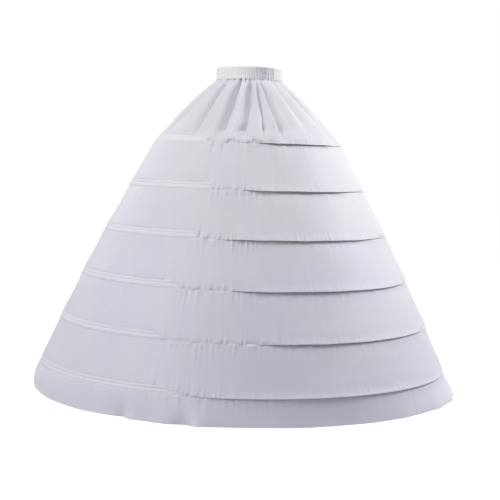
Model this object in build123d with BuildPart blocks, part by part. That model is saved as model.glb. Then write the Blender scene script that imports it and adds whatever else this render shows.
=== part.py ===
"""Hooped crinoline petticoat: an elastic waistband, a gathered yoke, five cloth tiers and a hem flounce,
with six sprung steel hoops, each closed by a connector and held in a tape casing over a tier seam.

The petticoat stands on its hem. Its origin is the centre of the hem on the floor, +Z is up the skirt,
-Y is the front, and the hoops close at the centre back, on +Y. All sizes are in millimetres.
"""

import os
from math import cos, degrees, hypot, pi, sin

from build123d import *

# Driving dimensions of the skirt
waist_diameter = 178.0
band_height = 34.0
yoke_drop = 174.0
yoke_swell = 5.0
top_hoop_diameter = 507.0
bottom_hoop_diameter = 1136.0
hoop_swell = 12.0
hoop_count = 6
hoop_spacing = 125.0
hem_drop = 76.0
hem_diameter = 1200.0

# Cloth and tape
cloth_thickness = 1.2
tape_thickness = 1.0
casing_height = 22.0
hem_turn_up = 12.0
seam_gap = 0.3

# Flat sprung bones, each bent into a ring, and the sleeves that join their ends
bone_width = 6.0
bone_thickness = 1.2
bone_end_gap = 1.5
connector_length = 40.0
connector_wall = 0.4
connector_clearance = 0.1

# Waist elastic, and the seam of the band below it
elastic_thickness = 1.6
band_seam = 5.5

# Gathers of the yoke, ridges of the waistband and waves of the hem
gather_count = 20
gather_depth = 7.0
gather_drift = 1.3
gather_height_shares = (0.0, 0.3, 0.7)
gather_depth_shares = (0.3, 1.0, 0.55)
ridge_count = 32
ridge_depth = 1.5
ridge_fade_share = 0.8
hem_wave_count = 12
hem_wave_depth = 5.0
hem_wave_drift = 0.8
plain_depth = 0.1

# Heights of the seams, and the band that the elastic runs in
hem_radius = hem_diameter / 2 - hem_wave_depth
band_bottom = hem_drop + (hoop_count - 1) * hoop_spacing + yoke_drop
band_top = band_bottom + band_height
waist_radius = waist_diameter / 2
tunnel_inner_radius = waist_radius + cloth_thickness
tunnel_outer_radius = tunnel_inner_radius + elastic_thickness + 2 * seam_gap
band_radius = tunnel_outer_radius + cloth_thickness
tunnel_top = band_top - cloth_thickness
elastic_bottom = band_bottom + band_seam

# The hoops close at the centre back
centre_back = pi / 2

# Outside of the connector, which sets the room in each casing
connector_skin = connector_clearance + connector_wall
connector_height = bone_width + 2 * connector_skin
connector_depth = bone_thickness + 2 * connector_skin


def hoop_height(hoop):
    """Height of a hoop's seam, hoop 1 being the top one."""
    return hem_drop + (hoop_count - hoop) * hoop_spacing


def hoop_radius(hoop):
    """Radius of the cloth at a hoop's seam: a straight cone, swollen a little between its ends."""
    share = (hoop - 1) / (hoop_count - 1)
    straight = top_hoop_diameter + share * (bottom_hoop_diameter - top_hoop_diameter)
    return straight / 2 + 4 * hoop_swell * share * (1 - share)


def cloth_radius(height):
    """Radius of the outside of the cloth, which runs straight from each seam to the next."""
    seams = [(hem_radius, 0)]
    seams += [(hoop_radius(hoop), hoop_height(hoop)) for hoop in range(hoop_count, 0, -1)]
    seams += [(band_radius, band_bottom)]
    for (lower_radius, lower), (upper_radius, upper) in zip(seams, seams[1:]):
        if height <= upper:
            break
    return lower_radius + (upper_radius - lower_radius) * (height - lower) / (upper - lower)


def connector_radius(hoop):
    """Inside radius of a hoop's connector, which lies a seam gap outside the cloth over its whole height."""
    middle = hoop_height(hoop)
    heights = (middle - connector_height / 2, middle, middle + connector_height / 2)
    return max(cloth_radius(height) for height in heights) + seam_gap


def ledge_height(hoop):
    """Height of the lower edge of a hoop's casing."""
    return hoop_height(hoop) - connector_height / 2 - seam_gap - tape_thickness


def slant_thickness(run, rise):
    """Radial thickness of cloth that leans outwards by run over rise."""
    return cloth_thickness * hypot(run, rise) / rise


def upright_plane(angle):
    """Upright plane that leaves the axis at this angle, for sections that are turned about the axis."""
    return Plane((0, 0, 0), x_dir=(cos(angle), sin(angle), 0), z_dir=(sin(angle), -cos(angle), 0))


def wavy_outline(radius, depth, count, drift):
    """Closed row of arcs about a circle, one for the crest and one for the hollow of each of count waves;
    drift makes some waves wider than others. A plain depth stands for none, so that sections have like arcs."""
    quarters = 4 * count
    turns = [2 * pi * quarter / quarters for quarter in range(quarters)]
    angles = [turn + drift * sin(2 * turn) / count for turn in turns]
    reach = [radius + max(depth, plain_depth) * cos(count * turn) for turn in turns]
    points = [(r * cos(angle), r * sin(angle)) for r, angle in zip(reach, angles)]
    for middle in range(0, quarters, 2):
        ThreePointArc(points[middle - 1], points[middle], points[middle + 1])


def wavy_ring(height, radius, thickness, depth, count, drift):
    """Flat ring of cloth at one height, a section for a loft."""
    with BuildSketch(Plane.XY.offset(height)) as ring:
        with BuildLine():
            wavy_outline(radius, depth, count, drift)
        make_face()
        with BuildLine():
            wavy_outline(radius - thickness, depth, count, drift)
        make_face(mode=Mode.SUBTRACT)
    return ring.sketch


def save(part, name):
    """Labels a finished piece and writes it to its own file."""
    part.label = name
    export_step(part, f"parts/{name}.step")


os.makedirs("parts", exist_ok=True)

# Waistband: a strip folded over the elastic, open below, with its outer side gathered into ridges
ridge_sections = [
    (band_bottom, band_radius, ridge_depth),
    (band_bottom + ridge_fade_share * band_height, band_radius, ridge_depth),
    (tunnel_top, band_radius, 0.0),
    (band_top, tunnel_outer_radius, 0.0),
]
with BuildPart() as waistband:
    for height, radius, depth in ridge_sections:
        with BuildSketch(Plane.XY.offset(height)):
            with BuildLine():
                wavy_outline(radius + depth / 2, depth / 2, ridge_count, 0)
            make_face()
    loft(ruled=True)
    with BuildSketch(Plane.XY.offset(band_bottom)):
        Circle(waist_radius)
    extrude(amount=band_height, mode=Mode.SUBTRACT)
    with BuildSketch(Plane.XY.offset(band_bottom)):
        Circle(tunnel_outer_radius)
        Circle(tunnel_inner_radius, mode=Mode.SUBTRACT)
    extrude(amount=tunnel_top - band_bottom, mode=Mode.SUBTRACT)
save(waistband.part, "waistband")

# Waist elastic: a flat loop in the fold of the band
with BuildPart() as waist_elastic:
    with BuildSketch(Plane.XY.offset(elastic_bottom)):
        Circle(tunnel_outer_radius - seam_gap)
        Circle(tunnel_inner_radius + seam_gap, mode=Mode.SUBTRACT)
    extrude(amount=tunnel_top - seam_gap - elastic_bottom)
save(waist_elastic.part, "waist_elastic")

# Yoke: gathered into the band, and plain where the top casing is sewn over it
collar_top = ledge_height(1) + casing_height + tape_thickness
yoke_thickness = slant_thickness(hoop_radius(1) - band_radius, yoke_drop)
gathers = []
for share, depth_share in zip(gather_height_shares, gather_depth_shares):
    height = band_bottom + share * (collar_top - band_bottom)
    gathers.append((height, 4 * yoke_swell * share * (1 - share), gather_depth * depth_share))
gathers += [(collar_top, 0, 0), (hoop_height(1), 0, 0)]
with BuildPart() as yoke_panel:
    loft(
        sections=[
            wavy_ring(height, cloth_radius(height) + swell, yoke_thickness, depth, gather_count, gather_drift)
            for height, swell, depth in gathers
        ],
        ruled=True,
    )
save(yoke_panel.part, "yoke_panel")

# Tiers: a strip of cloth from each hoop to the next, seamed edge to edge behind the casings
for hoop in range(1, hoop_count):
    top_radius, bottom_radius = hoop_radius(hoop), hoop_radius(hoop + 1)
    top, bottom = hoop_height(hoop), hoop_height(hoop + 1)
    tier_thickness = slant_thickness(bottom_radius - top_radius, top - bottom)
    with BuildPart() as tier_panel:
        with BuildSketch(Plane.XZ):
            with BuildLine():
                Polyline(
                    (top_radius, top),
                    (bottom_radius, bottom),
                    (bottom_radius - tier_thickness, bottom),
                    (top_radius - tier_thickness, top),
                    close=True,
                )
            make_face()
        revolve(axis=Axis.Z)
    save(tier_panel.part, f"tier_panel_{hoop}")

# Hem flounce: hangs from the lowest hoop to the floor, plain behind the casing and then in soft waves,
# with its edge turned up inside
wave_top = ledge_height(hoop_count) - tape_thickness
flounce_thickness = slant_thickness(hem_radius - hoop_radius(hoop_count), hem_drop)


def flounce_ring(height, turned_in):
    """Section of the flounce, or of the turned edge that lies inside it and reaches into its cloth."""
    depth = hem_wave_depth * max(1 - height / wave_top, 0)
    radius = cloth_radius(height) - turned_in * flounce_thickness / 2
    thickness = flounce_thickness * (1 + turned_in / 2)
    return wavy_ring(height, radius, thickness, depth, hem_wave_count, hem_wave_drift)


with BuildPart() as hem_flounce:
    loft(sections=[flounce_ring(height, 0) for height in (hem_drop, wave_top, 0)], ruled=True)
    loft(sections=[flounce_ring(height, 1) for height in (hem_turn_up, 0)], ruled=True)
save(hem_flounce.part, "hem_flounce")

# Hoops: casing, bone and connector at each seam
for hoop in range(1, hoop_count + 1):
    inner = connector_radius(hoop)
    outer = inner + connector_depth
    middle = hoop_height(hoop)
    bone_inner = inner + connector_skin

    # Casing: a tape sewn to the tier above, carried over the bone and turned under it to the tier below
    ledge = ledge_height(hoop)
    casing_top = ledge + casing_height
    tunnel_radius = outer + seam_gap
    shoulder = middle + connector_height / 2 + seam_gap
    top_edge = cloth_radius(casing_top) + seam_gap
    lip_edge = max(cloth_radius(ledge), cloth_radius(ledge + tape_thickness)) + seam_gap
    with BuildPart() as hoop_casing:
        with BuildSketch(Plane.XZ):
            with BuildLine():
                Polyline(
                    (top_edge, casing_top),
                    (tunnel_radius, shoulder),
                    (tunnel_radius, ledge + tape_thickness),
                    (lip_edge, ledge + tape_thickness),
                    (lip_edge, ledge),
                    (tunnel_radius + tape_thickness, ledge),
                    (tunnel_radius + tape_thickness, shoulder + tape_thickness / 2),
                    (top_edge + tape_thickness, casing_top),
                    close=True,
                )
            make_face()
        revolve(axis=Axis.Z)
    save(hoop_casing.part, f"hoop_casing_{hoop}")

    # Bone: a ring open by a small gap at the centre back
    gap_angle = bone_end_gap / bone_inner
    with BuildPart() as hoop_bone:
        with BuildSketch(upright_plane(centre_back + gap_angle / 2)):
            with Locations((bone_inner + bone_thickness / 2, middle)):
                Rectangle(bone_thickness, bone_width)
        revolve(axis=Axis.Z, revolution_arc=degrees(2 * pi - gap_angle))
    save(hoop_bone.part, f"hoop_bone_{hoop}")

    # Connector: a flat sleeve round both ends of the bone
    sleeve_angle = connector_length / inner
    with BuildPart() as bone_connector:
        with BuildSketch(upright_plane(centre_back - sleeve_angle / 2)):
            with Locations((inner + connector_depth / 2, middle)):
                Rectangle(connector_depth, connector_height)
                Rectangle(
                    bone_thickness + 2 * connector_clearance,
                    bone_width + 2 * connector_clearance,
                    mode=Mode.SUBTRACT,
                )
        revolve(axis=Axis.Z, revolution_arc=degrees(sleeve_angle))
    save(bone_connector.part, f"bone_connector_{hoop}")
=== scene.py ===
"""Looks of the hooped petticoat: gathered taffeta, taped casings, sewing thread and a white studio.

Lengths are in metres. A bearing is an angle round the skirt, 0 at the front and positive towards the
wearer's left, which is the right of the picture. The sheets of cloth are grids of points over bearings
and heights.
"""

from collections import namedtuple
from math import atan, pi, radians, tau

import bpy
import numpy as np
from mathutils import Matrix, Vector


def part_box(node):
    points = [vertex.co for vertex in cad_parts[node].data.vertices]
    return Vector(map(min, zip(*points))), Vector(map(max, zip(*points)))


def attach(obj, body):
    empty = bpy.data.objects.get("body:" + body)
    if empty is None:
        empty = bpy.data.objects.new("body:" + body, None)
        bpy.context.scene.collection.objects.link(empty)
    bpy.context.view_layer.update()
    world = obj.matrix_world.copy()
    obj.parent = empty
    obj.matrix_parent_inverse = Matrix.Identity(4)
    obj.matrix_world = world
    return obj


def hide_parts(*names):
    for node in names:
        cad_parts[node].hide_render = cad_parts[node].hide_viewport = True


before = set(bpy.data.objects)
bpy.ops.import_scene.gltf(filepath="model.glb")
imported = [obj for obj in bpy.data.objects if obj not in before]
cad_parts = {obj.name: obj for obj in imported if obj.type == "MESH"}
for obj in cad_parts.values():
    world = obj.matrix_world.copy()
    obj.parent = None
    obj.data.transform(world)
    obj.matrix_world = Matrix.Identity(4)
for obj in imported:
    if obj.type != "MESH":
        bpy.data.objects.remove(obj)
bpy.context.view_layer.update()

mm = 0.001

# Cloth, tape and thread
cloth_thickness = 0.9 * mm
tape_thickness = 0.8 * mm
lay_gap = 0.4 * mm
smooth_angle = radians(40)
stitch_length = 3.2 * mm
stitch_width = 0.8 * mm
stitch_height = 0.5 * mm
stitch_pitch = 4.6 * mm
stitch_raise = 0.25 * mm
stitch_sink = 0.1 * mm

# Columns of the grids, closer together at the front
columns = 800
front_crowding = 0.45

# Hoop seams: where the taped casing shows, and where the tuck over it hangs free of the skirt
hoop_count = 6
tape_shows_from = radians(-112)
tape_shows_to = [radians(angle) for angle in (-25.5, -16.0, -18.5, -21.5, -23.2, -17.5)]
tape_bare_share = 0.9
tape_hidden_share = 0.02
tuck_lifts_at = [radians(angle) for angle in (9.0, 1.0, -6.7, -2.0, 7.0, -9.7)]
tape_end_turns = [radians(angle) for angle in (2.5, 1.0, 3.5, 3.5, 1.2, 6.5)]
tape_end_fold = 1.8 * mm
tape_end_rag = 30 * mm
tape_end_rags = 150
tape_end_fold_width = radians(0.55)
tape_flush_share = 0.7
tuck_fade = radians(12)
tuck_rise = radians(8)
tuck_drop = 0.8 * mm
tuck_wander = 0.5 * mm
tuck_wanders = 30
tuck_lifts = [lift * mm for lift in (1.0, 1.8, 1.6, 1.6, 1.1, 1.5)]
tuck_settles_at = [radians(angle) for angle in (48, 42, 46, 58, 60, 66)]
tuck_settles_over = radians(18)
tuck_settled_share = 0.3
tuck_flare = 2.4 * mm
tuck_flare_height = 13 * mm
tuck_covers = [cover * mm for cover in (4.5, 2.2, 1.8, 1.8, 1.8, 2.2)]
tuck_spread = 45 * mm
tuck_stitching = 5 * mm

# Rows of the grids of cloth: at these heights over the tuck's edge, and then in so many steps to the top
tuck_grid = np.array([0, 1.2, 2.6, 4.2, 6.2, 8.6, 11.5, 15, 19.5, 25, 32]) * mm
tier_rows = 14
tier_row_crowding = 1.6
yoke_rows = 28
yoke_row_crowding = 1.3

# Puckers, drag lines and slack of the sewn cloth
pucker_pitches = [pitch * mm for pitch in (17, 12, 12, 12, 11, 11)]
pucker_depths = [depth * mm for depth in (5.0, 3.2, 3.8, 3.4, 3.0, 3.0)]
pucker_floor = 0.8 * mm
pucker_reach = 11 * mm
pucker_start = 7 * mm
pucker_sharpness = 3
pucker_least_share = 0.4
pucker_ridge_share = 0.6
pucker_wave_share = 0.7
pucker_sink_share = 0.1
pucker_distance_share = 0.6
yoke_pucker_distance_share = 0.7
streak_pitch = 13 * mm
streak_depth = 1.0 * mm
streak_reach = 38 * mm
slack_above = 40 * mm
slack_below = 30 * mm
slack_lean = 0.1
slack_depth = 1.6 * mm
slack_waves = 15
seam_slope_share = 0.7
seam_steps = [step * mm for step in (1.6, 2.8, 2.5, 2.5, 1.8, 2.3)]
seam_step_reach = 26 * mm
seam_dip = 1.4 * mm
seam_dip_reach = 2 * mm
seam_bulge = 1.4 * mm
seam_bulge_reach = 5 * mm
seam_press_share = 0.6
seam_press_height = 6 * mm

# Taped casings: rows of stitching, measured from the ledge and from the top edge
lower_row = 10.5 * mm
upper_row = 3.4 * mm
row_groove = 0.9 * mm
row_groove_width = 1.1 * mm
tape_puff = 0.8 * mm
tape_press = 0.5 * mm
tape_press_height = 1.0 * mm
tape_lip_turn = 0.25 * mm
tape_lip_height = 1.2 * mm
tape_lip_rows = 2
tape_dive_from = 3 * mm
tape_dive_to = 1.2 * mm
tape_lining_rise = 0.4 * mm
tape_lining_rows = 5
tape_wander = 0.2 * mm
tape_wanders = 60
tape_column_step = 2
tape_grid = np.array(
    [0, 0.3, 0.9, 2, 4, 6, 8, 9.4, 10.5, 11.6, 13.2, 14.8, 16.4, 17.6, 18.6, 19.6, 21, 22])
tape_grid_shares = tape_grid / tape_grid[-1]

# Waistband
band_rise_rows = 14
band_turn_rows = 5
band_lining_rows = 6
band_ridges = 90
band_ridge_depth = 1.0 * mm
band_ridge_drift = 2.5
band_beat_share = 0.7
band_inset = 0.9 * mm
band_row_shares = (0.36, 0.7)
band_row_width_share = 0.05
band_row_depth = 0.6 * mm
band_row_flat_share = 0.5
band_round_share = 0.9
band_round_depth = 0.8 * mm
band_round_flat_share = 0.4
band_lining_depth = 2.9 * mm
band_crown = 0.6 * mm
band_stitch_inset = 1.4 * mm
band_firm_share = 0.6
band_slack_share = 1.1
# Bearings where the band is slack: its ridges stand deeper there, and its colour carries painted shade
band_slack_starts = (radians(-7), radians(21))
band_slack_ends = (radians(32.5), radians(48))
band_slack_end_fade = radians(2)

# Yoke, with its sides in degrees and its shares of the way down, 1 at the top of the first casing
yoke_inset = 1.5 * mm
yoke_overlap = 3 * mm
yoke_stitching = 6 * mm
yoke_swell = 5 * mm
yoke_belly = 15 * mm
yoke_belly_at = 8
yoke_belly_width = 22
yoke_belly_share = 0.8
yoke_belly_height_share = 0.18
yoke_end_share = 1.2
crease_shares = (0, 0.5, 1)
fold_start_shares = (-0.05, 0.25)
valley_end_shares = (1.005, 0.93)
ridge_end_shares = (1.0, 0.6)
seam_puff = 6 * mm
seam_puff_valley = 16 * mm
seam_puff_start_shares = (0.88, 1.0)
seam_puff_end_shares = (1.15, 1.04)
seam_puff_sides = (70, 50)
yoke_waves = 20
yoke_wave_depth = 4.5 * mm
yoke_wave_start_shares = (-0.05, 0.3)
yoke_wave_end_shares = (0.55, 1.0)
yoke_wave_sides = (50, 75)
yoke_wave_front_cut = 0.85
yoke_wave_sway = 1.3
yoke_wave_drift = 0.5
yoke_wave_drifts = 9
yoke_wave_unevenness = 0.25
yoke_wave_changes = 12
gathers = 46
gather_depth = 11 * mm
gather_reach = 9 * mm
gather_drift = 2.2
gather_sharpness = 3
gather_unevenness = 0.35

# Hem
hem_turn_up = 12 * mm
hem_turn_rows = 5
hem_rows = 20
hem_fold_gap = 1.5 * cloth_thickness
hem_stitch_tilt = 0.3
hem_waves = 13
hem_wave_depth = 5 * mm
hem_ripple = 1.5 * mm
hem_lean = 10 * mm
hem_hang = 12 * mm
hem_hang_at = radians(28)
hem_hang_width = radians(26)
hem_belly = 6 * mm
hem_belly_at = radians(-90)
hem_belly_width = radians(40)
hem_pucker_start = 4 * mm
hem_edge_lift = 1.1 * mm
hem_edge_lifts = 24
hem_edge_reach = 10 * mm

# Seeds of the random curves, to which a hoop or a tier adds its own number
wave_seed = 7
gather_seed = 11
band_seed = 21
tuck_seed = 40
rag_seed = 50
hem_seed = 61
tape_seed = 80
slack_seed = 100
pucker_seed = 200
under_pucker_seed = 300
streak_seed = 400

Hoop = namedtuple("Hoop", "radius height outer ledge shoulder top")


def read_hoops():
    """Seam and casing of each hoop as the frame has them, the top hoop first."""
    hoops = []
    for number in range(1, hoop_count + 1):
        casing_low, casing_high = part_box(f"hoop_casing_{number}")
        panel_low, panel_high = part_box(f"tier_panel_{number - 1}" if number > 1 else "yoke_panel")
        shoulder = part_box(f"bone_connector_{number}")[1].z + tape_thickness
        hoops.append(Hoop(panel_high.x, panel_low.z, casing_high.x, casing_low.z, shoulder, casing_high.z))
    return hoops


hoops = read_hoops()
band_low, band_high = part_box("waistband")
hem_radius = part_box("hem_flounce")[1].x - hem_wave_depth
yoke_top_radius = band_high.x - yoke_inset
seam_heights = [0.0] + [hoop.height for hoop in reversed(hoops)] + [band_low.z]
seam_radii = [hem_radius] + [hoop.radius for hoop in reversed(hoops)] + [yoke_top_radius]


def read_skin():
    """Heights and radii of the skirt's outside, from the hem up: it slopes out over each bone."""
    knots = [(band_low.z, yoke_top_radius)]
    for hoop in hoops:
        height, radius = knots[-1]
        slope = (hoop.outer - radius) / (height - hoop.shoulder)
        knots.append((hoop.shoulder, hoop.outer))
        knots.append((hoop.ledge, hoop.outer + seam_slope_share * slope * (hoop.shoulder - hoop.ledge)))
    knots.append((0.0, hem_radius))
    return zip(*reversed(knots))


skin_heights, skin_radii = read_skin()

even = np.linspace(-pi, pi, columns, endpoint=False)
bearings = even - front_crowding * np.sin(even)


def seam_line(height):
    """Radius of the seams behind the casings: straight from each hoop to the next."""
    return np.interp(height, seam_heights, seam_radii)


def skin_line(height):
    """Radius of the skirt's outside: straight between the hoops, and steeper over each bone."""
    return np.interp(height, skin_heights, skin_radii)


def ease(low, high, value):
    """Smooth step from 0 at low to 1 at high."""
    share = np.clip((value - low) / (high - low), 0, 1)
    return share * share * (3 - 2 * share)


def uneven(bearing, waves, seed):
    """Smooth random curve round the skirt, from -1 to 1, with about this many waves."""
    knots = np.random.default_rng(seed).uniform(-1, 1, 2 * waves)
    place = (bearing / tau) % 1 * len(knots)
    left = np.floor(place).astype(int)
    blend = ease(0, 1, place - left)
    return knots[left % len(knots)] * (1 - blend) + knots[(left + 1) % len(knots)] * blend


def taped(hoop_index, bearing):
    """Share, 0 to 1, by which the tape of a hoop's casing shows at a bearing."""
    edge, turn = tape_shows_to[hoop_index], tape_end_turns[hoop_index]
    shows = ease(tape_shows_from - tuck_fade, tape_shows_from, bearing)
    return shows * (1 - ease(edge - turn, edge + turn, bearing))


def lifted(hoop_index, bearing):
    """Share by which the tuck over a hoop stands off the skirt at a bearing."""
    start = tuck_lifts_at[hoop_index]
    settled = tuck_settles_at[hoop_index]
    rise = ease(start - tuck_rise / 2, start + tuck_rise, bearing)
    rise = rise * (1 - (1 - tuck_settled_share) * ease(settled, settled + tuck_settles_over, bearing))
    behind = 1 - ease(tape_shows_from - 2 * tuck_fade, tape_shows_from - tuck_fade, bearing)
    return np.maximum(rise, behind)


def puckered(hoop_index, bearing):
    """Share by which the cloth at a hoop is puckered: most between the tape's end and the free tuck."""
    start, end = tape_shows_to[hoop_index], tuck_lifts_at[hoop_index]
    zone = ease(start - tuck_fade, start, bearing) * (1 - ease(end, end + 2 * tuck_fade, bearing))
    return pucker_least_share + (1 - pucker_least_share) * zone


def puckers(hoop_index, bearing, distance, seed):
    """Fine upright puckers that die out away from a hoop's stitching, and a fold at the tape's end."""
    waves = int(tau * hoops[hoop_index].outer / pucker_pitches[hoop_index])
    ridged = (1 - np.abs(uneven(bearing, waves, seed))) ** pucker_sharpness
    waved = uneven(bearing, waves, seed + 1)
    fine = pucker_ridge_share * ridged + pucker_wave_share * waved - pucker_sink_share
    fine = np.maximum(pucker_depths[hoop_index] * fine, -pucker_floor)
    past = (bearing - tape_shows_to[hoop_index] - tape_end_turns[hoop_index]) / tape_end_fold_width
    fold = tape_end_fold * np.exp(-past ** 2)
    return (fine * puckered(hoop_index, bearing) + fold) * np.exp(-distance / pucker_reach)


def streaks(hoop_index, bearing, distance, seed):
    """Faint upright drag lines that run further from a hoop than its puckers do."""
    waves = int(tau * hoops[hoop_index].outer / streak_pitch)
    dying = np.exp(-distance / streak_reach)
    return streak_depth * uneven(bearing, waves, seed) * puckered(hoop_index, bearing) * dying


def tuck_edge(hoop_index, bearing):
    """Height of the lower edge of the cloth at a hoop: tucked over the casing, or turned in at its top."""
    hoop = hoops[hoop_index]
    wander = tuck_wander * uneven(bearing, tuck_wanders, tuck_seed + hoop_index)
    low = hoop.ledge - tuck_drop + wander
    high = hoop.top - tuck_covers[hoop_index]
    shows = taped(hoop_index, bearing)
    ragged = tape_end_rag * shows * (1 - shows) * uneven(bearing, tape_end_rags, rag_seed + hoop_index)
    return low + (high - low) * shows + ragged


def panel_radius(upper, lower, bearing, height):
    """Radius of the cloth between two hoops: stepped in under the tuck above, laid over the casing."""
    hoop = hoops[lower]
    over = (lay_gap + cloth_thickness) * ease(hoop.top + tuck_spread, hoop.top, height)
    over = over * (1 - tape_flush_share * taped(lower, bearing))
    pressed = ease(hoop.ledge + seam_press_height, hoop.ledge, height) * (1 - lifted(lower, bearing))
    over = over * (1 - seam_press_share * pressed)
    rim = ease(hoop.ledge + tuck_flare_height, hoop.ledge - tuck_drop, height) ** 2
    lift = tuck_lifts[lower] * ease(hoop.top, hoop.ledge, height) + tuck_flare * rim
    return skin_line(height) + over + lifted(lower, bearing) * lift - step_in(upper, bearing, height)


def step_in(hoop_index, bearing, height):
    """How far the cloth below a hoop lies behind the edge of the casing or of the tuck."""
    if hoop_index < 0:
        return 0.0
    below = hoops[hoop_index].ledge - height
    hangs, covered = lifted(hoop_index, bearing), 1 - taped(hoop_index, bearing)
    step = seam_steps[hoop_index] * hangs * np.exp(-below / seam_step_reach)
    bulge = seam_bulge * (1 - hangs) * np.exp(-(below / seam_bulge_reach - 1) ** 2)
    return step + covered * (seam_dip * np.exp(-below / seam_dip_reach) - bulge)


def ring_points(bearing, radius, height):
    """Points at these bearings, radii and heights."""
    return np.stack([radius * np.sin(bearing), -radius * np.cos(bearing), height + 0 * radius], axis=-1)


def select_only(piece):
    bpy.ops.object.select_all(action="DESELECT")
    piece.select_set(True)
    bpy.context.view_layer.objects.active = piece


def dress(piece, material):
    """Gives a piece its material and its place in the object."""
    piece.data.materials.append(material)
    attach(piece, "root")
    return piece


def sew(name, points, thickness):
    """Closed thin sheet from a grid of points: rows run up the skirt, and columns close round it."""
    rows, cols = points.shape[:2]
    index = np.arange(rows * cols).reshape(rows, cols)
    right = np.roll(index, -1, axis=1)
    faces = np.stack([index[:-1], right[:-1], right[1:], index[1:]], axis=-1)
    mesh = bpy.data.meshes.new(name)
    mesh.from_pydata(points.reshape(-1, 3).tolist(), [], faces.reshape(-1, 4).tolist())

    across = np.linalg.norm(np.roll(points, -1, axis=1) - points, axis=-1).mean(axis=0)
    along = np.linalg.norm(np.diff(points, axis=0), axis=-1).mean(axis=1)
    u = np.concatenate([[0], np.cumsum(across)])
    v = np.concatenate([[0], np.cumsum(along)])
    corners = np.empty((rows - 1, cols, 4, 2))
    corners[..., 0] = np.stack([u[:-1], u[1:], u[1:], u[:-1]], axis=-1)
    corners[..., 1] = np.stack([v[:-1], v[:-1], v[1:], v[1:]], axis=-1)[:, None]
    mesh.uv_layers.new(name="cloth").data.foreach_set("uv", corners.ravel())

    piece = bpy.data.objects.new(name, mesh)
    bpy.context.scene.collection.objects.link(piece)
    select_only(piece)
    wall = piece.modifiers.new("wall", "SOLIDIFY")
    wall.thickness = thickness
    wall.offset = -1
    bpy.ops.object.modifier_apply(modifier=wall.name)
    bpy.ops.object.shade_smooth_by_angle(angle=smooth_angle)
    return piece


def stitches(name, rows, material):
    """Rows of thread, with a small lozenge for each stitch.

    A row gives bearings, radii, heights and an upward tilt.
    """
    places, alongs, outwards = [], [], []
    for bearing, radius, height, tilt in rows:
        level = np.ones_like(bearing)
        places.append(ring_points(bearing, radius, height))
        alongs.append(ring_points(bearing + pi / 2, level, 0 * level))
        outwards.append(ring_points(bearing, level * np.cos(tilt), level * np.sin(tilt)))
    place, along, outward = (np.concatenate(part) for part in (places, alongs, outwards))
    side = np.cross(outward, along)
    points = np.stack([
        place - along * stitch_length / 2,
        place + along * stitch_length / 2,
        place - side * stitch_width / 2,
        place + side * stitch_width / 2,
        place + outward * stitch_height,
        place - outward * stitch_height / 2,
    ], axis=1)
    rim = ((0, 2), (2, 1), (1, 3), (3, 0))
    lozenge = np.array([(*edge, 4) for edge in rim] + [(*reversed(edge), 5) for edge in rim])
    first = np.arange(len(place)) * points.shape[1]
    faces = (first[:, None, None] + lozenge).reshape(-1, 3)
    mesh = bpy.data.meshes.new(name)
    mesh.from_pydata(points.reshape(-1, 3).tolist(), [], faces.tolist())
    piece = bpy.data.objects.new(name, mesh)
    bpy.context.scene.collection.objects.link(piece)
    return dress(piece, material)


def stitch_bearings(radius, start=-pi, end=pi):
    """Bearings of a row of stitches round a radius."""
    count = int((end - start) * radius / stitch_pitch)
    return start + (np.arange(count) + 0.5) * (end - start) / count


# Shaders


class Socket:
    """A shader socket that Python's operators work on: each operation adds a Math node."""

    def __init__(self, tree, socket=None):
        self.tree = tree
        self.socket = socket

    def node(self, kind, settings, values, output=0):
        """Adds a node with its settings and the values or links of its sockets, and gives an output."""
        made = self.tree.nodes.new(kind)
        for name, value in settings.items():
            setattr(made, name, value)
        for name, value in values.items():
            if isinstance(value, Socket):
                self.tree.links.new(value.socket, made.inputs[name])
            else:
                made.inputs[name].default_value = value
        return Socket(self.tree, made.outputs[output])

    def maths(self, operation, first, second):
        return self.node("ShaderNodeMath", {"operation": operation}, {0: first, 1: second})

    def __add__(self, other):
        return self.maths("ADD", self, other)

    __radd__ = __add__

    def __sub__(self, other):
        return self.maths("SUBTRACT", self, other)

    def __rsub__(self, other):
        return self.maths("SUBTRACT", other, self)

    def __mul__(self, other):
        return self.maths("MULTIPLY", self, other)

    __rmul__ = __mul__

    def sine(self):
        return self.maths("SINE", self, 0.0)

    def between(self, low, high):
        """Smooth step of the value from low to high."""
        return self.node(
            "ShaderNodeMapRange", {"interpolation_type": "SMOOTHSTEP"},
            {"Value": self, "From Min": low, "From Max": high})

    def mix(self, first, second):
        """Colour between first and second, by this value."""
        return self.node("ShaderNodeMix", {"data_type": "RGBA"}, {0: self, 6: first, 7: second}, 2)


def rgba(red, green, blue):
    return (red, green, blue, 1.0)


def start_material(name):
    """New material, with a socket to build its nodes from and its surface shader."""
    material = bpy.data.materials.new(name)
    material.use_nodes = True
    tree = material.node_tree
    return material, Socket(tree), tree.nodes["Principled BSDF"]


def feed(surface, values):
    """Sets or links sockets of a surface shader."""
    for name, value in values.items():
        if isinstance(value, Socket):
            value.tree.links.new(value.socket, surface.inputs[name])
        else:
            surface.inputs[name].default_value = value


soft_detail = 2.0
fine_detail = 3.0


def noise(start, vector, scale, detail=soft_detail):
    return start.node("ShaderNodeTexNoise", {}, {"Vector": vector, "Scale": scale, "Detail": detail})


def stretched(start, vector, scale):
    return start.node("ShaderNodeMapping", {}, {"Vector": vector, "Scale": scale})


def mixed_colours(share, colours):
    """Colour between the two of a pair, by a share."""
    first, second = colours
    return share.mix(rgba(*first), rgba(*second))
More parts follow.
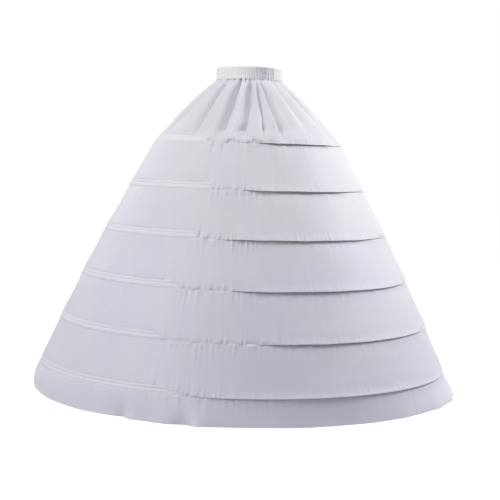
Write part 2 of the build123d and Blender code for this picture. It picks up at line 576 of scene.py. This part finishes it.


# Woven cloth: its threads and slubs, clouds and tints of colour that go by the height on the skirt, and
# painted light and shade: darker on the yoke, paler at the hem, darker on the slack of the band
Cloth = namedtuple("Cloth", "plain lilac warm thread_pitch slub_strength roughness")
cool_scale = 5.5
cool_range = (0.42, 0.68)
cool_share = 0.6
warm_scale = 8.0
warm_stretch = (1.0, 1.0, 1.6)
warm_range = (0.5, 0.72)
warm_share = 0.8
low_heights = (0.05, 0.6)
low_share = 0.6
# Paler, bluer lilac on the flounce: partly the cloth's lilac tone, partly painted light that lifts the
# flounce
hem_lilac_and_painted_light = (0.85, 0.825, 0.945)
hem_lilac_and_painted_light_heights = (0.06, 0.085)
hem_lilac_and_painted_light_share = 0.9
# Painted shade: the yoke is coloured darker and greyer than the rest of the taffeta
yoke_painted_shade = (0.768, 0.738, 0.787)
yoke_painted_shade_heights = (0.70, 0.78)
yoke_painted_shade_share = 0.8
# Painted shade on the slack of the band: greyer lilac at its foot, darker still at its top
band_slack_shade_colours = ((0.79, 0.75, 0.87), (0.70, 0.67, 0.735))
slub_stretch = (9.0, 260.0, 1.0)
slub_colours = ((0.9, 0.9, 0.905), (1.0, 1.0, 1.0))
slub_roughness = 0.16
drag_stretch = (60.0, 5.0, 1.0)
drag_share = 0.7
weave_share = 0.35
weave_strength = 0.25
weave_depth = 0.25 * mm
cloth_sheen = 0.25
cloth_sheen_roughness = 0.45
cloth_specular = 0.35


def clouded(start, cloth, place, height):
    """Clouds of lilac and warm white, with more lilac lower down."""
    cool = noise(start, place, cool_scale).between(*cool_range)
    warm_place = stretched(start, place, warm_stretch)
    warmth = noise(start, warm_place, warm_scale, fine_detail).between(*warm_range)
    low = 1.0 - height.between(*low_heights)
    warmed = mixed_colours(warmth * warm_share, (cloth.plain, cloth.warm))
    return (cool * cool_share + low * low_share).mix(warmed, rgba(*cloth.lilac))


def with_painted_light_at_ends(colour, height):
    """Colour with the painted light and shade of the skirt's ends: paler lilac at the hem, partly painted
    light, and painted shade on the yoke.
    """
    at_hem = hem_lilac_and_painted_light_share - height.between(*hem_lilac_and_painted_light_heights) * hem_lilac_and_painted_light_share
    at_yoke = height.between(*yoke_painted_shade_heights) * yoke_painted_shade_share
    return at_yoke.mix(at_hem.mix(colour, rgba(*hem_lilac_and_painted_light)), rgba(*yoke_painted_shade))


def with_slack_painted_shade(start, colour, height):
    """Colour with painted shade where the waistband is slack, darker towards its top."""
    slack_share = start.node("ShaderNodeAttribute", {"attribute_name": "slack"}, {}, "Fac")
    slack_shade_colour = mixed_colours(height.between(band_low.z, band_high.z), band_slack_shade_colours)
    return slack_share.mix(colour, slack_shade_colour)


def crossed_threads(start, flat, pitch):
    """Relief of the crossing threads, from -1 to 1."""
    warp = start.node("ShaderNodeSeparateXYZ", {}, {"Vector": flat}, 0)
    weft = start.node("ShaderNodeSeparateXYZ", {}, {"Vector": flat}, 1)
    return (warp * (tau / pitch)).sine() * (weft * (tau / pitch)).sine()


def woven(name, cloth, has_painted_ends=False, has_slack_shade=False):
    """Plain-woven cloth: clouds of colour, slubs along the weft, and fine crossing threads, with painted
    light and shade at the skirt's ends or on the band's slack where asked.
    """
    material, start, surface = start_material(name)
    flat = start.node("ShaderNodeUVMap", {"uv_map": "cloth"}, {})
    place = start.node("ShaderNodeTexCoord", {}, {}, "Object")
    height = start.node("ShaderNodeSeparateXYZ", {}, {"Vector": place}, 2)
    slub = noise(start, stretched(start, flat, slub_stretch), 1.0, fine_detail)
    drag = noise(start, stretched(start, flat, drag_stretch), 1.0)
    colour = clouded(start, cloth, place, height)
    # Painted shade on the yoke, and painted light with the lilac at the hem
    if has_painted_ends:
        colour = with_painted_light_at_ends(colour, height)
    shade = (slub - 0.5) * cloth.slub_strength + (drag - 0.5) * cloth.slub_strength * drag_share + 0.5
    toned = start.node(
        "ShaderNodeMix", {"data_type": "RGBA", "blend_type": "MULTIPLY"},
        {0: 1.0, 6: colour, 7: mixed_colours(shade, slub_colours)}, 2)
    # Painted shade on the slack of the band
    if has_slack_shade:
        toned = with_slack_painted_shade(start, toned, height)
    relief = crossed_threads(start, flat, cloth.thread_pitch) * weave_share + slub * (1 - weave_share)
    bump = start.node(
        "ShaderNodeBump", {}, {"Strength": weave_strength, "Distance": weave_depth, "Height": relief})
    feed(surface, {
        "Base Color": toned,
        "Roughness": cloth.roughness + (slub - 0.5) * slub_roughness,
        "Normal": bump,
        "Sheen Weight": cloth_sheen,
        "Sheen Roughness": cloth_sheen_roughness,
        "Specular IOR Level": cloth_specular,
    })
    return material


# Finishes of the other pieces: pairs of colours, the darker first, and the grain and ribs of each
thread_colours = ((0.86, 0.855, 0.88), (0.93, 0.925, 0.94))
elastic_colours = ((0.78, 0.775, 0.79), (0.86, 0.855, 0.865))
coated_steel_colours = ((0.72, 0.72, 0.73), (0.82, 0.82, 0.83))
connector_steel_colours = ((0.56, 0.56, 0.57), (0.68, 0.68, 0.69))
elastic_rib_pitch = 1.6 * mm
elastic_rib_depth = 0.4 * mm
elastic_rib_strength = 0.5
elastic_grain = 300.0
thread_grain = 900.0
coated_steel_stretch = (4.0, 4.0, 900.0)
connector_steel_stretch = (40.0, 40.0, 1500.0)


def make_thread():
    """Smooth white sewing thread."""
    material, start, surface = start_material("sewing_thread")
    place = start.node("ShaderNodeTexCoord", {}, {}, "Object")
    worn = noise(start, place, thread_grain)
    feed(surface, {
        "Base Color": mixed_colours(worn, thread_colours),
        "Roughness": 0.4 + worn * 0.2,
        "Sheen Weight": 0.2,
    })
    return material


def make_elastic():
    """Ribbed white elastic."""
    material, start, surface = start_material("woven_elastic_finish")
    place = start.node("ShaderNodeTexCoord", {}, {}, "Object")
    height = start.node("ShaderNodeSeparateXYZ", {}, {"Vector": place}, 2)
    ribs = (height * (tau / elastic_rib_pitch)).sine()
    worn = noise(start, place, elastic_grain)
    bump = start.node(
        "ShaderNodeBump", {},
        {"Strength": elastic_rib_strength, "Distance": elastic_rib_depth, "Height": ribs})
    feed(surface, {
        "Base Color": mixed_colours(worn, elastic_colours),
        "Roughness": 0.6 + worn * 0.2,
        "Normal": bump,
    })
    return material


def make_coated_steel():
    """White nylon coat on the sprung bones, with faint drawing lines along it."""
    material, start, surface = start_material("coated_steel_finish")
    place = start.node("ShaderNodeTexCoord", {}, {}, "Object")
    lines = noise(start, stretched(start, place, coated_steel_stretch), 1.0, fine_detail)
    feed(surface, {
        "Base Color": mixed_colours(lines, coated_steel_colours),
        "Roughness": 0.28 + lines * 0.18,
        "Coat Weight": 0.3,
    })
    return material


def make_connector_steel():
    """Pressed and plated steel, lightly brushed."""
    material, start, surface = start_material("connector_steel_finish")
    place = start.node("ShaderNodeTexCoord", {}, {}, "Object")
    brushed = noise(start, stretched(start, place, connector_steel_stretch), 1.0, fine_detail)
    feed(surface, {
        "Base Color": mixed_colours(brushed, connector_steel_colours),
        "Roughness": 0.25 + brushed * 0.2,
        "Metallic": 1.0,
    })
    return material


taffeta_cloth = Cloth(
    plain=(0.80, 0.778, 0.83), lilac=(0.775, 0.752, 0.89), warm=(0.808, 0.784, 0.815),
    thread_pitch=0.5 * mm, slub_strength=0.6, roughness=0.5)
tape_cloth = Cloth(
    plain=(0.875, 0.855, 0.905), lilac=(0.85, 0.828, 0.94), warm=(0.88, 0.86, 0.885),
    thread_pitch=0.7 * mm, slub_strength=0.8, roughness=0.55)
gathered_band_cloth = Cloth(
    plain=(0.985, 0.955, 0.945), lilac=(0.975, 0.945, 0.95), warm=(0.985, 0.955, 0.94),
    thread_pitch=0.5 * mm, slub_strength=0.4, roughness=0.5)
# The taffeta carries the painted shade of the yoke and the painted light of the hem
taffeta = woven("white_taffeta_finish", taffeta_cloth, has_painted_ends=True)
tape = woven("casing_tape_finish", tape_cloth)
# The band's cloth carries painted shade where it is slack
band_cloth = woven("band_cloth_finish", gathered_band_cloth, has_slack_shade=True)
thread = make_thread()

# Pieces


def panel_heights(hoop_index, top, rows, crowding):
    """Heights of a panel's rows: close over the casing that it comes down to and at its top."""
    edge = tuck_edge(hoop_index, bearings)
    shares = 1 - np.linspace(1, 0, rows + 1)[1:] ** crowding
    close = edge + tuck_grid[:, None]
    return np.concatenate([close, close[-1] + (top - close[-1]) * shares[:, None]])


def make_tier(number):
    """Tier of cloth from one hoop to the tuck over the next."""
    upper, lower = number - 1, number
    top = hoops[upper].ledge - lay_gap / 2
    casing_top = hoops[lower].top
    heights = panel_heights(lower, top, tier_rows, tier_row_crowding)
    radius = panel_radius(upper, lower, bearings, heights)
    middle = ease(casing_top, casing_top + slack_above, heights) * ease(top, top - slack_below, heights)
    leaning = bearings + slack_lean * heights
    radius += slack_depth * middle * uneven(leaning, slack_waves, slack_seed + number)
    from_stitching = np.abs(heights - tuck_edge(lower, bearings) - tuck_stitching)
    radius += puckers(lower, bearings, from_stitching, pucker_seed + number)
    below = ease(top, top - pucker_start, heights)
    fall = pucker_distance_share * (top - heights)
    radius += puckers(upper, bearings, fall, under_pucker_seed + number) * below
    radius += streaks(upper, bearings, top - heights, streak_seed + number) * below
    points = ring_points(bearings, radius, heights)
    piece = dress(sew(f"tier_{number}", points, cloth_thickness), taffeta)
    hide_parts(f"tier_panel_{number}")
    return piece


# Ridges and valleys of the yoke's folds, from the wearer's right to the left: bearings in degrees at the
# band, half way down and at the top hoop, how far they stand out in millimetres, and the power that
# shapes the slope to the next one
Crease = namedtuple("Crease", "bearings stands sharpness", defaults=(1.8,))
yoke_creases = [
    Crease((-76, -78, -80), 0),
    Crease((-62, -67, -71), -15),
    Crease((-54, -58, -61), 0),
    Crease((-43, -43, -42), 3),
    Crease((-37, -36.5, -36), -28),
    Crease((-33, -32.5, -32), 4),
    Crease((-26, -25, -23.5), 2),
    Crease((-13.8, -15.2, -16.3), -32),
    Crease((-9.8, -10, -11.5), 5, 1.2),
    Crease((-6.5, -6.6, -8), -5, 1.2),
    Crease((4.0, 2.3, -1.2), -33),
    Crease((8.3, 7.4, 4.5), 3),
    Crease((12.3, 11.8, 10.5), -14),
    Crease((15.3, 17, 18.5), 12),
    Crease((18.2, 19.8, 20.9), -30),
    Crease((21.8, 23.6, 25), -6),
    Crease((27, 29, 30), 0),
    Crease((33.4, 35.5, 37.5), 9, 1.3),
    Crease((39, 42, 45), -5),
    Crease((50, 54, 58), 0),
    Crease((62, 66, 70), -8),
    Crease((75, 78, 80), 0),
]


def yoke_drop(height):
    """Share of the way down the yoke: 0 at the band and 1 at the top of the first casing."""
    return np.clip((band_low.z - height) / (band_low.z - hoops[0].top), 0, yoke_end_share)


def fold_offset(degrees, drop):
    """How far the yoke's folds move its cloth, at bearings in degrees and shares of the way down.

    The valleys end at the top of the first casing, and the cloth between them puffs out over it.
    """
    stands = np.array([crease.stands for crease in yoke_creases]) * mm
    sharpnesses = np.array([crease.sharpness for crease in yoke_creases])
    offset = np.zeros_like(drop)
    for row, down in enumerate(drop):
        places = np.array([np.interp(down, crease_shares, crease.bearings) for crease in yoke_creases])
        left = np.clip((places <= degrees).sum(axis=0) - 1, 0, len(yoke_creases) - 2)
        here = np.take_along_axis(places, left[None], axis=0)[0]
        beyond = np.take_along_axis(places, left[None] + 1, axis=0)[0]
        share = np.clip((degrees - here) / (beyond - here), 0, 1)
        falling = stands[left] > stands[left + 1]
        power = sharpnesses[left]
        share = np.where(falling, share ** power, 1 - (1 - share) ** power)
        offset[row] = stands[left] * (1 - share) + stands[left + 1] * share
    fade = np.where(offset < 0, ease(*valley_end_shares, drop), ease(*ridge_end_shares, drop))
    puffs = np.clip(1 + offset / seam_puff_valley, 0, 1) * (1 - taped(0, np.radians(degrees)))
    over_casing = ease(*seam_puff_start_shares, drop) * ease(*seam_puff_end_shares, drop)
    over_casing = over_casing * ease(*seam_puff_sides, np.abs(degrees))
    return offset * ease(*fold_start_shares, drop) * fade + seam_puff * puffs * over_casing


def gathered(bearing):
    """Share by which the cloth under the band is drawn in: narrow dips between wider puffs."""
    drift = gather_drift * uneven(bearing, gathers // 3, gather_seed)
    beat = 0.5 + 0.5 * np.cos(gathers * bearing + drift)
    change = gather_unevenness * uneven(bearing, gathers // 2, gather_seed + 1)
    return beat ** gather_sharpness * (1 - gather_unevenness + change)


def yoke_wave(bearing, drop):
    """Soft waves round the yoke, faint at the front, where it has folds of its own."""
    envelope = ease(*yoke_wave_start_shares, drop) * (1 - ease(*yoke_wave_end_shares, drop))
    front = 1 - ease(*yoke_wave_sides, np.abs(np.degrees(bearing)))
    drift = yoke_wave_drift * uneven(bearing, yoke_wave_drifts, wave_seed)
    waves = np.cos(yoke_waves * bearing + yoke_wave_sway * np.sin(2 * bearing) + drift)
    change = yoke_wave_unevenness * uneven(bearing, yoke_wave_changes, wave_seed + 1)
    depth = yoke_wave_depth * (1 - yoke_wave_front_cut * front) * (1 - yoke_wave_unevenness + change)
    return depth * envelope * waves


def make_yoke():
    """Yoke gathered into the band, in folds that spread and fade towards the top hoop."""
    heights = panel_heights(0, band_low.z + yoke_overlap, yoke_rows, yoke_row_crowding)
    drop = yoke_drop(heights)
    degrees = np.degrees(bearings)
    radius = panel_radius(-1, 0, bearings, heights) + 4 * yoke_swell * drop * np.clip(1 - drop, 0, 1)
    radius += yoke_wave(bearings, drop)
    radius += fold_offset(degrees, drop)
    down = (drop - yoke_belly_share) / yoke_belly_height_share
    across = (degrees - yoke_belly_at) / yoke_belly_width
    radius += yoke_belly * np.exp(-down ** 2 - across ** 2)
    below = np.abs(band_low.z - heights)
    radius -= gather_depth * gathered(bearings) * np.exp(-below / gather_reach)
    from_stitching = np.abs(heights - tuck_edge(0, bearings) - yoke_stitching)
    radius += puckers(0, bearings, from_stitching * yoke_pucker_distance_share, pucker_seed)
    points = ring_points(bearings, radius, heights)
    piece = dress(sew("yoke", points, cloth_thickness), taffeta)
    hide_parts("yoke_panel")
    return piece


def slack(bearing):
    """Share by which the band is slack, where its gathers lie deepest; the band's painted shade follows it
    too.
    """
    fade = band_slack_end_fade
    ends = sum(ease(end - fade, end + fade, bearing) for end in band_slack_ends) / len(band_slack_ends)
    return ease(*band_slack_starts, bearing) * (1 - ends)


def band_outside():
    """Radii of the outside of the band, from its foot up: gathered ridges, sewn rows and a rounded top."""
    rise = np.linspace(0, 1, band_rise_rows)
    grooves = sum(np.exp(-((rise - row) / band_row_width_share) ** 2) for row in band_row_shares)
    round_over = ease(band_round_share, 1.0, rise)
    drift = band_ridge_drift * uneven(bearings, band_ridges // 3, band_seed)
    beat = np.cos(band_ridges * bearings + drift)
    ridges = band_beat_share * beat + (1 - band_beat_share) * uneven(bearings, band_ridges, band_seed + 1)
    ridges = ridges * (band_firm_share + band_slack_share * slack(bearings))
    outer = band_high.x - band_inset - band_row_depth * grooves - band_round_depth * round_over
    standing = 1 - band_row_flat_share * grooves - band_round_flat_share * round_over
    return outer[:, None] + band_ridge_depth * standing[:, None] * ridges


def make_waistband():
    """Band folded over the elastic: gathered ridges outside, two sewn rows, and a plain inside."""
    height = band_high.z - band_low.z
    outside = band_outside()
    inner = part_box("waist_elastic")[1].x - band_lining_depth
    turn = np.linspace(0, 1, band_turn_rows + 1)[1:]
    across = outside[-1] + (inner - outside[-1]) * turn[:, None]
    inside = np.full((band_lining_rows, columns), inner)
    radius = np.concatenate([outside, across, inside])
    heights = np.concatenate([
        band_low.z + height * np.linspace(0, 1, band_rise_rows),
        band_high.z + band_crown * np.sin(pi * turn),
        band_high.z - height * np.linspace(0, 1, band_lining_rows + 1)[1:],
    ])
    points = ring_points(bearings, radius, heights[:, None])
    piece = dress(sew("band", points, cloth_thickness), band_cloth)
    # The band keeps its slack share as a point attribute, the mask of its painted shade
    turns = [np.arctan2(vertex.co.x, -vertex.co.y) for vertex in piece.data.vertices]
    piece.data.attributes.new("slack", "FLOAT", "POINT").data.foreach_set("value", slack(np.array(turns)))
    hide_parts("waistband")
    turns = stitch_bearings(band_high.x)
    radii = np.full_like(turns, band_high.x - band_stitch_inset)
    rows = [(turns, radii, band_low.z + height * row, 0.0) for row in band_row_shares]
    stitches("band_stitches", rows, thread)
    return piece


# Folds that stand out at the hem: bearing in degrees, depth in millimetres, width in degrees, and the
# power by which they fade upwards
HemFold = namedtuple("HemFold", "bearing depth width rise")
hem_folds = [
    HemFold(-27.6, 8.0, 1.7, 2.5),
    HemFold(-30.0, -8.0, 2.0, 3.0),
    HemFold(-9.8, 8.0, 2.2, 2.5),
    HemFold(-13.5, -11.0, 2.8, 2.5),
    HemFold(96.0, 4.0, 7.0, 1.0),
    HemFold(-88.0, 8.0, 9.0, 1.0),
    HemFold(62.0, 4.0, 3.0, 2.0),
    HemFold(74.0, 4.0, 2.5, 2.0),
]


def flounce_radius(up, fall):
    """Radii of the flounce at these heights and shares of the way down: soft waves and a few folds."""
    waves = hem_lean * np.sin(bearings)
    waves += hem_wave_depth * uneven(bearings, hem_waves, hem_seed)
    waves += hem_ripple * uneven(bearings, 3 * hem_waves, hem_seed + 1)
    waves -= hem_hang * np.exp(-((bearings - hem_hang_at) / hem_hang_width) ** 2)
    belly = hem_belly * np.exp(-((bearings - hem_belly_at) / hem_belly_width) ** 2)
    radius = skin_line(up) + waves * ease(0, 1, fall) + belly * np.sin(pi * fall)
    for fold in hem_folds:
        across = np.exp(-((np.degrees(bearings) - fold.bearing) / fold.width) ** 2)
        radius += fold.depth * mm * across * fall ** fold.rise
    return radius


def make_flounce():
    """Flounce from the lowest hoop to the floor, in soft waves, with its edge turned up inside."""
    last = hoop_count - 1
    top = hoops[last].ledge - lay_gap / 2
    turned_up = np.linspace(0, hem_turn_up, hem_turn_rows)
    up = np.concatenate([turned_up, np.linspace(hem_turn_up, top, hem_rows)[1:]])[:, None]
    radius = flounce_radius(up, 1 - up / top) - step_in(last, bearings, up)
    below = ease(top, top - hem_pucker_start, up)
    fall = pucker_distance_share * (top - up)
    radius += puckers(last, bearings, fall, under_pucker_seed + hoop_count) * below
    lifts = hem_edge_lift * (1 + uneven(bearings, hem_edge_lifts, hem_seed + 2))
    heights = up + lifts * np.exp(-up / hem_edge_reach)
    turned = slice(1, hem_turn_rows)
    inside = ring_points(bearings, radius[turned] - hem_fold_gap, heights[turned])
    points = np.concatenate([inside[::-1], ring_points(bearings, radius, heights)])
    piece = dress(sew("flounce", points, cloth_thickness), taffeta)
    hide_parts("hem_flounce")
    turns = stitch_bearings(hem_radius)
    row = np.interp(turns, bearings, radius[hem_turn_rows - 1])
    level = np.interp(turns, bearings, heights[hem_turn_rows - 1])
    stitches("hem_stitches", [(turns, row, level, hem_stitch_tilt)], thread)
    return piece


def tape_outside(hoop, heights):
    """Radii of the outside of a casing at these heights: puffed between its sunk rows of stitching."""
    low_row, high_row = hoop.ledge + lower_row, hoop.top - upper_row
    radius = skin_line(heights)
    radius -= tape_lip_turn * ease(tape_lip_height, 0, heights - hoop.ledge)
    for foot, head in ((hoop.ledge, low_row), (low_row, high_row)):
        radius += tape_puff * np.sin(pi * np.clip((heights - foot) / (head - foot), 0, 1))
    for row in (low_row, high_row):
        radius -= row_groove * np.exp(-((heights - row) / row_groove_width) ** 2)
    under_cloth = ease(hoop.top - tape_dive_from, hoop.top - tape_dive_to, heights)
    return radius - (cloth_thickness + lay_gap) * under_cloth


def make_casing(number):
    """Tape casing of a hoop: wrapped round the bone, with two rows of stitching above it."""
    hoop = hoops[number - 1]
    outside = hoop.ledge + tape_grid_shares * (hoop.top - hoop.ledge)
    inside = np.linspace(hoop.top, hoop.ledge + tape_lining_rise, tape_lining_rows)
    radius = tape_outside(hoop, outside)
    lining = seam_line(inside) - lay_gap
    lip = np.linspace(lining[-1], radius[0], tape_lip_rows + 2)[1:-1]
    radii = np.concatenate([lining, lip, radius])
    heights = np.concatenate([inside, np.full(tape_lip_rows, hoop.ledge), outside])
    wander = tape_wander * uneven(bearings, tape_wanders, tape_seed + number)
    wander -= tape_press * (1 - taped(number - 1, bearings))
    hidden = np.zeros(tape_lining_rows + tape_lip_rows)
    outward = np.concatenate([hidden, ease(hoop.ledge, hoop.ledge + tape_press_height, outside)])
    grid = radii[:, None] + wander * outward[:, None]
    points = ring_points(bearings, grid, heights[:, None])[:, ::tape_column_step]
    piece = dress(sew(f"casing_{number}", points, tape_thickness), tape)
    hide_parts(f"hoop_casing_{number}")
    return piece


def make_seam_stitches(number):
    """Thread at a hoop: two rows on the tape where it shows, and one row along the tuck elsewhere."""
    index = number - 1
    hoop = hoops[index]
    tilt = atan((hoop.outer - skin_line(hoop.top)) / (hoop.top - hoop.ledge))
    turns = stitch_bearings(hoop.outer)
    shown = taped(index, turns)
    bare = shown > tape_bare_share
    rows = []
    for level in (hoop.ledge + lower_row, hoop.top - upper_row):
        radius = skin_line(level) - row_groove + stitch_raise
        rows.append((turns[bare], np.full(bare.sum(), radius), level, tilt))
    covered = turns[shown < tape_hidden_share]
    level = tuck_edge(index, covered) + tuck_stitching
    radius = panel_radius(index - 1, index, covered, level)
    radius += puckers(index, covered, 0 * covered, pucker_seed + index)
    if index == 0:
        radius += fold_offset(np.degrees(covered), yoke_drop(level)[None])[0]
    rows.append((covered, radius - stitch_sink, level, tilt))
    return stitches(f"seam_stitches_{number}", rows, thread)


def finish_kept_solids():
    """Finishes of the pieces that keep their solids."""
    elastic, bone, connector = make_elastic(), make_coated_steel(), make_connector_steel()
    for name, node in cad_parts.items():
        finish = {"waist": elastic, "hoop": bone, "bone": connector}.get(name.split("_")[0])
        node.data.materials.clear()
        node.data.materials.append(finish or taffeta)


# Studio: a glowing floor and room, and panels of light that face the middle of the skirt
floor_size = 30
floor_grey = (0.5, 0.5, 0.52)
floor_glow = 0.95
room_tint = (0.96, 0.965, 1.0)
room_glow = 0.12
light_aim = (0, 0, 0.5)
Panel = namedtuple("Panel", "name place side power")
panels = [
    Panel("right_panel", (2.3, 0.2, 1.9), 1.0, 43.5),
    Panel("left_panel", (-2.0, -1.6, 1.4), 1.0, 25),
    Panel("overhead", (-0.2, -0.8, 2.6), 1.0, 18),
    Panel("front_fill", (0, -4.2, 1.6), 2.0, 11),
    Panel("back_right", (1.9, 1.7, 1.6), 1.4, 9),
    Panel("back_left", (-1.9, 1.7, 1.6), 1.4, 12),
]

# Camera, with its lens and sensor in millimetres
camera_place = (0.0154, -3.457, 0.643)
camera_tip = radians(4.17)
camera_roll = radians(1.58)
camera_lens = 86.4
camera_sensor = 36.0


def make_floor():
    """Floor that glows white to the camera and lights the skirt only as a grey one would."""
    bpy.ops.mesh.primitive_plane_add(size=floor_size)
    floor = bpy.context.object
    floor.name = "floor"
    material = bpy.data.materials.new("studio_floor")
    material.use_nodes = True
    tree = material.node_tree
    tree.nodes.remove(tree.nodes["Principled BSDF"])
    start = Socket(tree)
    seen = seen_directly(start)
    plain = start.node("ShaderNodeBsdfDiffuse", {}, {"Color": rgba(*floor_grey)})
    glow = start.node("ShaderNodeEmission", {}, {"Color": rgba(1, 1, 1), "Strength": floor_glow})
    white = start.node("ShaderNodeAddShader", {}, {0: plain, 1: glow})
    mixed = start.node("ShaderNodeMixShader", {}, {0: seen, 1: plain, 2: white})
    tree.links.new(mixed.socket, tree.nodes["Material Output"].inputs["Surface"])
    floor.data.materials.append(material)


def seen_directly(start):
    """1 for rays that show the background itself: camera, glossy and transmitted ones."""
    kinds = [start.node("ShaderNodeLightPath", {}, {}, kind)
             for kind in ("Is Camera Ray", "Is Glossy Ray", "Is Transmission Ray")]
    return start.node("ShaderNodeClamp", {}, {"Value": kinds[0] + kinds[1] + kinds[2]})


def make_world():
    """Room that is white to the camera and lights the skirt faintly."""
    world = bpy.data.worlds.new("studio")
    bpy.context.scene.world = world
    world.use_nodes = True
    tree = world.node_tree
    tree.nodes.remove(tree.nodes["Background"])
    start = Socket(tree)
    white = start.node("ShaderNodeBackground", {}, {"Color": rgba(1, 1, 1), "Strength": 1.0})
    room = start.node("ShaderNodeBackground", {}, {"Color": rgba(*room_tint), "Strength": room_glow})
    mixed = start.node("ShaderNodeMixShader", {}, {0: seen_directly(start), 1: room, 2: white})
    tree.links.new(mixed.socket, tree.nodes["World Output"].inputs["Surface"])


def make_light(panel):
    """Square panel of light, turned to the skirt."""
    lamp = bpy.data.lights.new(panel.name, "AREA")
    lamp.shape = "SQUARE"
    lamp.size = panel.side
    lamp.energy = panel.power
    light = bpy.data.objects.new(panel.name, lamp)
    light.location = panel.place
    light.rotation_euler = (Vector(light_aim) - Vector(panel.place)).to_track_quat("-Z", "Y").to_euler()
    bpy.context.scene.collection.objects.link(light)


def make_camera():
    """Camera at the picture's viewpoint: a little above the middle of the skirt, tipped down and rolled."""
    lens = bpy.data.cameras.new("camera")
    lens.sensor_width = camera_sensor
    lens.lens = camera_lens
    camera = bpy.data.objects.new("camera", lens)
    place = Matrix.Translation(camera_place)
    tip = Matrix.Rotation(pi / 2 - camera_tip, 4, "X")
    roll = Matrix.Rotation(camera_roll, 4, "Z")
    camera.matrix_world = place @ tip @ roll
    bpy.context.scene.collection.objects.link(camera)
    bpy.context.scene.camera = camera


finish_kept_solids()
make_yoke()
make_waistband()
for tier in range(1, hoop_count):
    make_tier(tier)
make_flounce()
for hoop_number in range(1, hoop_count + 1):
    make_casing(hoop_number)
    make_seam_stitches(hoop_number)

make_floor()
make_world()
for light_panel in panels:
    make_light(light_panel)
make_camera()
bpy.context.scene.view_settings.view_transform = "Standard"
